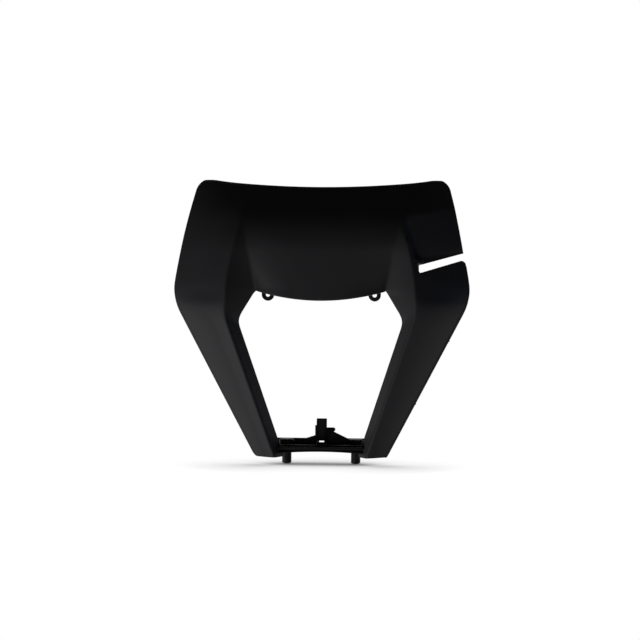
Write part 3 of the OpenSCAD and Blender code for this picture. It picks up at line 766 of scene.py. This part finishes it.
class COWL_OT_bridge(bpy.types.Operator):
    """Build the bridge between the feet: shelf, lip, rear wall with the aiming tab"""
    bl_idname = "cowl.bridge"
    bl_label = "Bridge and aiming tab"

    def execute(self, context):
        s = sizes()
        side = s.foot_ridge_half_w + s.shelf_side
        rear_x = side - s.shelf_corner
        inner = s.foot_open_half_w + s.wall
        share = (s.foot_ridge_front - s.return_depth - s.lip_front) / -s.return_depth
        front = inner + (s.foot_ridge_half_w - inner) * share
        y_in = -s.foot_ridge_front + s.return_depth + OVERLAP
        plan = [
            (-front, -s.lip_front), (front, -s.lip_front), (inner, y_in),
            (side, -s.foot_out_front), (side, 0), (rear_x, s.rear_y), (-rear_x, s.rear_y),
            (-side, 0), (-side, -s.foot_out_front), (-inner, y_in)]
        ob = plate("bridge", plan, plan_view(s.shelf_z), s.bridge_wall, SOFT)
        arch = [-front + 2 * front * k / 24 for k in range(25)]
        low = s.shelf_z - s.lip_drop_z
        lip = [(x, low - s.lip_arch * (x / front) ** 2) for x in arch]
        lip += [(front, s.shelf_z + s.lip_h), (-front, s.shelf_z + s.lip_h)]
        lip = plate("lip", lip, front_view(-s.lip_front), s.bridge_wall, SOFT)
        rise = (s.shelf_z + s.lip_h - low) * MM
        for vertex in lip.data.vertices:
            over = max(0, vertex.co.z - low * MM - LIP_STRAIGHT * MM)
            vertex.co.y += s.lip_slope * MM * over / rise
        carve(ob, lip, "UNION")
        carve(ob, self.rear_wall(s, rear_x), "UNION")
        for sign in (-1, 1):
            carve(ob, self.flange(s, sign), "UNION")
            carve(ob, peg(s, sign), "UNION")
        carve(moulding(), ob, "UNION")
        return {"FINISHED"}

    def rear_wall(self, s, rear_x):
        t = s.tab_w / 2
        top = s.rear_z + s.rear_rise
        nose = (s.tab_step_z - top) / 4
        middle = (s.tab_step_x - nose, s.tab_step_z - nose)
        turn = [math.radians(90 - 180 * k / 8) for k in range(9)]
        outline = [
            (-rear_x, s.shelf_z), (rear_x, s.shelf_z), (rear_x, s.rear_z),
            (s.rear_rise_x, s.rear_z)]
        outline += [(middle[0] + nose * math.cos(a), middle[1] + nose * math.sin(a))
                    for a in reversed(turn)]
        outline += [
            (t, s.tab_step_z), (t, s.tab_z), (-t, s.tab_z), (-t, s.tab_ear_z),
            (-t - s.tab_ear, s.tab_ear_z), (-t - s.tab_ear, top),
            (-REAR_RISE_SHARE * s.rear_rise_x, s.rear_z), (-rear_x, s.rear_z)]
        wall = plate("rear_wall", outline, front_view(s.rear_y - s.bridge_wall),
                     s.bridge_wall, SOFT)
        half_w, half_h = s.tab_slot_w / 2, s.tab_slot_h / 2
        tool = block("tab_slot", (-half_w, -THROUGH, s.tab_slot_z - half_h),
                     (half_w, THROUGH, s.tab_slot_z + half_h), 0)
        return carve(wall, tool, "DIFFERENCE")

    def flange(self, s, sign):
        t = s.tab_w / 2
        top = s.rear_z + s.rear_rise
        shelf_top = s.shelf_z + s.bridge_wall / 2
        back, front = s.rear_y - s.bridge_wall / 2, s.rear_y - s.tab_flange
        outline = [
            (back, s.tab_z), (front, s.tab_z - s.tab_flange / 2), (front, top),
            (-s.lip_front / 2, shelf_top), (back, shelf_top)]
        x = sign * (t - s.bridge_wall / 4) - s.bridge_wall / 4
        return plate("flange", outline, side_view(x), s.bridge_wall / 2, THIN)


def peg(s, sign):
    """A locating peg with the boss over it."""
    x = sign * s.peg_pitch / 2
    length_mm = s.shelf_z + s.bridge_wall / 2
    ob = post("peg", s.peg_d / 2, (x, 0, length_mm / 2), length_mm, bevel_mm=TIP)
    low = s.shelf_z + BOSS_START
    boss = post("boss", s.boss_d / 2, (x, 0, (low + s.rear_z) / 2), s.rear_z - low, bevel_mm=BOSS)
    return carve(ob, boss, "UNION")


class COWL_OT_eyelets(bpy.types.Operator):
    """Hang the two screw eyelets on their brackets behind the brow"""
    bl_idname = "cowl.eyelets"
    bl_label = "Screw eyelets"

    def execute(self, context):
        s = sizes()
        form = Form(s)
        for sign in (-1, 1):
            x = sign * s.eyelet_pitch / 2
            carve(moulding(), self.eyelet(s, form, x), "UNION")
        return {"FINISHED"}

    def eyelet(self, s, form, x):
        r = s.eyelet_d / 2
        y = -s.eyelet_front
        eyelet_z = s.open_top_z - s.eyelet_drop
        low = eyelet_z + s.eyelet_d * BRACKET_START
        high = low + s.bracket_h
        across = (math.pi / 2, 0, 0)
        ob = post("eyelet", r, (x, y + s.eyelet_t / 2, eyelet_z), s.eyelet_t, across, EYELET)
        tab = block("tab", (x - r, y, eyelet_z), (x + r, y + s.eyelet_t, high), EYELET)
        carve(ob, tab, "UNION")
        hole = post("hole", s.eyelet_hole_d / 2, (x, y, eyelet_z), 4 * s.eyelet_t, across, 0)
        carve(ob, hole, "DIFFERENCE")
        for web_x in (x - r, x + r - s.bracket_t):
            mid = web_x + s.bracket_t / 2
            levels = [low + k * s.bracket_h / 4 for k in range(5)]
            face = [(s.wall / 2 - form.depth(mid, z, True), z) for z in levels]
            outline = [(y + s.eyelet_t / 2, low)] + face + [(y + s.eyelet_t / 2, high)]
            carve(ob, plate("web", outline, side_view(web_x), s.bracket_t, THIN), "UNION")
        return ob


class COWL_OT_hooks(bpy.types.Operator):
    """Set the four strap hooks on the backs of the arms"""
    bl_idname = "cowl.hooks"
    bl_label = "Strap hooks"

    def execute(self, context):
        s = sizes()
        form = Form(s)
        for sign in (-1, 1):
            for z in (s.hook_upper_z, s.hook_lower_z):
                carve(moulding(), self.hook(s, form, z, sign), "UNION")
        return {"FINISHED"}

    def hook(self, s, form, z, sign):
        tip = form.outer_w(z)
        leg = tip - s.hook_foot
        back = s.hook_reach - form.outer_d(z)
        low, high = z - s.hook_w / 2, z + s.hook_w / 2
        seat = s.wall * SEAT
        start = [seat - form.depth(sign * leg, h, False) for h in (low, high)]
        ob = plate("leg", [(start[0], low), (back, low), (back, high), (start[1], high)],
                   side_view(sign * leg - s.hook_t / 2), s.hook_t, FINE)
        outline = [
            (leg, back - s.hook_t), (tip - s.hook_barb, back - s.hook_t),
            (tip - s.hook_barb, back - s.hook_t - s.hook_barb),
            (tip, back - s.hook_t - s.hook_barb), (tip, back - s.hook_barb),
            (tip - s.hook_barb, back), (leg, back)]
        foot = plate("foot", [(sign * u, v) for u, v in outline], plan_view(low), s.hook_w, FINE)
        return carve(ob, foot, "UNION")


# Materials
def linear(hex_colour):
    """Linear colour of an sRGB hex value."""
    parts = [int(hex_colour[k:k + 2], 16) / 255 for k in (1, 3, 5)]
    return [c / 12.92 if c <= 0.04045 else ((c + 0.055) / 1.055) ** 2.4 for c in parts] + [1]


def add(tree, kind, settings=None, links=None):
    """A node with its settings and the outputs linked to its inputs."""
    node = tree.nodes.new(kind)
    for name, value in (settings or {}).items():
        if name in node.inputs:
            node.inputs[name].default_value = value
        else:
            setattr(node, name, value)
    for name, output in (links or {}).items():
        tree.links.new(output, node.inputs[name])
    return node


def new_material(name):
    material = bpy.data.materials.new(name)
    material.use_nodes = True
    material.node_tree.nodes.clear()
    return material, material.node_tree


def moulded_polypropylene(finish):
    """Black polypropylene, injection moulded: a satin skin with a fine spark-eroded grain."""
    material, tree = new_material("moulded_black_polypropylene")
    place = add(tree, "ShaderNodeTexCoord").outputs["Object"]
    # Grain of the mould, drawn at the size set, a little coarser than the real 0.3 mm
    grain = add(tree, "ShaderNodeTexNoise",
                {"Scale": 1 / (finish.grain_mm * MM), "Detail": 3, "Roughness": 0.6},
                {"Vector": place})
    # Flow of the plastic in the mould: slow changes of tone, about 40 mm across
    flow = add(tree, "ShaderNodeTexNoise",
               {"Scale": 1 / (40 * MM), "Detail": 2, "Roughness": 0.5}, {"Vector": place})
    tone = add(tree, "ShaderNodeMix",
               {"data_type": "RGBA", "A": linear(finish.colour), "B": linear("#2c2b2d")},
               {"Factor": flow.outputs["Fac"]})
    sheen_map = add(tree, "ShaderNodeMapRange",
                    {"To Min": finish.roughness - 0.05, "To Max": finish.roughness + 0.07},
                    {"Value": flow.outputs["Fac"]})
    bump = add(tree, "ShaderNodeBump", {"Strength": 0.12, "Distance": 0.06 * MM},
               {"Height": grain.outputs["Fac"]})
    skin = add(tree, "ShaderNodeBsdfPrincipled",
               {"IOR": 1.49, "Specular IOR Level": finish.specular},
               {"Base Color": tone.outputs[2], "Roughness": sheen_map.outputs["Result"],
                "Normal": bump.outputs["Normal"]})
    add(tree, "ShaderNodeOutputMaterial", {}, {"Surface": skin.outputs["BSDF"]})
    return material


def plain_and_shaded_polypropylene(finish):
    """The same plastic from the mould's ungrained side, without the grain; its blacker colour is
    painted shade on the bridge, pegs and eyelets.
    """
    material, tree = new_material("plain_black_polypropylene_painted_shade")
    skin = add(tree, "ShaderNodeBsdfPrincipled",
               {"Base Color": linear(finish.shade_and_ungrained_colour), "Roughness": finish.roughness,
                "IOR": 1.49, "Specular IOR Level": finish.specular})
    add(tree, "ShaderNodeOutputMaterial", {}, {"Surface": skin.outputs["BSDF"]})
    return material


def add_mix(tree, first, second):
    mix = add(tree, "ShaderNodeMixShader")
    tree.links.new(first.outputs[0], mix.inputs[1])
    tree.links.new(second.outputs[0], mix.inputs[2])
    add(tree, "ShaderNodeOutputMaterial", {}, {"Surface": mix.outputs[0]})
    return mix


def studio_paper(name, colour):
    """Matt white paper that shows as plain white to the camera and in reflections, with a painted
    shadow where the cowl stands close.
    """
    material, tree = new_material(name)
    rays = add(tree, "ShaderNodeLightPath").outputs
    seen = add(tree, "ShaderNodeMath", {"operation": "MAXIMUM"})
    tree.links.new(rays["Is Camera Ray"], seen.inputs[0])
    tree.links.new(rays["Is Glossy Ray"], seen.inputs[1])
    either = add(tree, "ShaderNodeMath", {"operation": "MAXIMUM"})
    tree.links.new(seen.outputs[0], either.inputs[0])
    tree.links.new(rays["Is Transmission Ray"], either.inputs[1])
    paper = add(tree, "ShaderNodeBsdfDiffuse", {"Color": linear(colour)})
    # Painted shadow: where the cowl stands close, ambient occlusion darkens the paper's glow
    painted_shadow = add(tree, "ShaderNodeAmbientOcclusion",
                {"Color": linear("#ffffff"), "Distance": SHADOW_REACH})
    glow = add(tree, "ShaderNodeEmission", {"Strength": 1}, {"Color": painted_shadow.outputs["Color"]})
    tree.links.new(either.outputs[0], add_mix(tree, paper, glow).inputs["Fac"])
    return material


class COWL_OT_finish(bpy.types.Operator):
    """Give the moulding its plastic and let it stand for the solid"""
    bl_idname = "cowl.finish"
    bl_label = "Finish"

    def execute(self, context):
        ob = moulding()
        ob.data.materials.clear()
        ob.data.materials.append(moulded_polypropylene(context.scene.cowl_finish))
        ob.data.materials.append(plain_and_shaded_polypropylene(context.scene.cowl_finish))
        only(ob)
        bpy.ops.object.shade_smooth_by_angle(angle=SMOOTH_ANGLE)
        self.select_ungrained_and_shaded(ob)
        # The blacker plastic is painted shade on the bridge, pegs and eyelets, and the ungrained
        # side on the back
        ob.active_material_index = 1
        bpy.ops.object.mode_set(mode="EDIT")
        bpy.ops.object.material_slot_assign()
        bpy.ops.object.mode_set(mode="OBJECT")
        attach(ob, "root")
        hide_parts(NODE)
        return {"FINISHED"}

    def select_ungrained_and_shaded(self, ob):
        """Select the ungrained back, and the bridge, the pegs and the eyelets, which get the
        blacker plastic as painted shade.
        """
        s = sizes()
        deselect_mesh(ob)
        eyelet_z = s.open_top_z - s.eyelet_drop
        for face in ob.data.polygons:
            x, y, z = face.center / MM
            bridge = abs(x) < s.foot_open_half_w - 0.5 and z < s.tab_z + 1
            eyelet = (y > -s.eyelet_front - 1 and abs(x) < s.eyelet_pitch / 2 + s.eyelet_d
                      and abs(z - eyelet_z) < s.eyelet_d)
            face.select = face.normal.y > FACES_BACK or bridge or eyelet


class COWL_OT_stage(bpy.types.Operator):
    """Set the pale floor, the backdrop, the soft lights and the camera"""
    bl_idname = "cowl.stage"
    bl_label = "Stage"

    def execute(self, context):
        if bpy.data.objects.get(FLOOR):
            raise RuntimeError("the stage is set already")
        studio = context.scene.cowl_studio
        self.floor()
        self.lights(context)
        self.camera(context, studio)
        context.scene.view_settings.view_transform = "Standard"
        return {"FINISHED"}

    def floor(self):
        floor = self.sheet(FLOOR, "#f4f4f4", FLOOR_AT, FLOOR_SIZE)
        # The lamps stand low, so that the sheet lets their light through from below
        floor.visible_shadow = False
        wall = self.sheet("studio_backdrop", "#f6f6f6", WALL_AT, WALL_SIZE, math.pi / 2)

    def sheet(self, name, colour, at, size, tilt=0):
        """A sheet of paper, lying or tilted up."""
        deselect()
        bpy.ops.mesh.primitive_plane_add(size=1, location=at, rotation=(tilt, 0, 0))
        ob = bpy.context.object
        ob.name = name
        ob.scale = size
        settle(ob)
        ob.data.materials.append(studio_paper(name + "_paper", colour))
        return ob

    def lights(self, context):
        world = bpy.data.worlds.new("studio")
        context.scene.world = world
        world.use_nodes = True
        ground = world.node_tree.nodes["Background"]
        ground.inputs["Color"].default_value = linear("#ffffff")
        # White to the camera from every side, and nearly dark as a light
        path = add(world.node_tree, "ShaderNodeLightPath")
        seen = add(world.node_tree, "ShaderNodeMath", {"operation": "MAXIMUM"})
        seen.inputs[0].default_value = WORLD_LIGHT
        world.node_tree.links.new(path.outputs["Is Camera Ray"], seen.inputs[1])
        world.node_tree.links.new(seen.outputs["Value"], ground.inputs["Strength"])
        self.softbox("key", (-0.96, -0.5, -0.62), 13)
        self.softbox("fill", (0.0, -1.22, -0.3), 3.3)
        # Cool light from the side, for the bluish cast of the arm at the viewer's right
        self.softbox("sky", (1.27, 0.05, -0.1), 1.2, "#8fc8ff")

    def softbox(self, name, at, power, colour="#ffffff"):
        """A square soft lamp that faces the cowl's middle."""
        light = bpy.data.lights.new(name, "AREA")
        light.shape = "SQUARE"
        light.size = LAMP_SIZE
        light.energy = power
        light.color = linear(colour)[:3]
        ob = bpy.data.objects.new(name, light)
        bpy.context.collection.objects.link(ob)
        ob.location = at
        towards = Vector(LAMP_AIM) - Vector(at)
        ob.rotation_euler = towards.to_track_quat("-Z", "Y").to_euler()

    def camera(self, context, studio):
        data = bpy.data.cameras.new("camera")
        data.lens = studio.lens
        data.sensor_width = 36
        ob = bpy.data.objects.new("camera", data)
        context.collection.objects.link(ob)
        aim = Vector(studio.aim)
        away = Vector((math.sin(studio.yaw), -math.cos(studio.yaw), 0))
        turn = Matrix.Rotation(studio.yaw, 4, "Z") @ Matrix.Rotation(math.pi / 2, 4, "X")
        turn = turn @ Matrix.Rotation(studio.roll, 4, "Z")
        ob.matrix_world = Matrix.Translation(aim + studio.distance * away) @ turn
        context.scene.camera = ob


class COWL_PT_panel(bpy.types.Panel):
    """The cowl's steps, in order"""
    bl_idname = "COWL_PT_panel"
    bl_label = "Headlight cowl"
    bl_space_type = "VIEW_3D"
    bl_region_type = "UI"
    bl_category = "Cowl"

    def draw(self, context):
        for step in STEPS:
            self.layout.operator(step.bl_idname)
        for name in ("colour", "roughness", "grain_mm"):
            self.layout.prop(context.scene.cowl_finish, name)


GROUPS = {"cowl_sizes": CowlSizes, "cowl_finish": CowlFinish, "cowl_studio": CowlStudio}
STEPS = (COWL_OT_face, COWL_OT_edges, COWL_OT_slot, COWL_OT_bridge, COWL_OT_eyelets,
         COWL_OT_hooks, COWL_OT_finish, COWL_OT_stage)


def register():
    for cls in (*GROUPS.values(), *STEPS, COWL_PT_panel):
        bpy.utils.register_class(cls)
    for name, group in GROUPS.items():
        setattr(bpy.types.Scene, name, PointerProperty(type=group))


def unregister():
    for name in GROUPS:
        delattr(bpy.types.Scene, name)
    for cls in reversed((*GROUPS.values(), *STEPS, COWL_PT_panel)):
        bpy.utils.unregister_class(cls)


def main():
    register()
    bpy.ops.cowl.face()
    bpy.ops.cowl.edges()
    bpy.ops.cowl.slot()
    bpy.ops.cowl.bridge()
    bpy.ops.cowl.eyelets()
    bpy.ops.cowl.hooks()
    bpy.ops.cowl.finish()
    bpy.ops.cowl.stage()


if __name__ == "__main__":
    main()
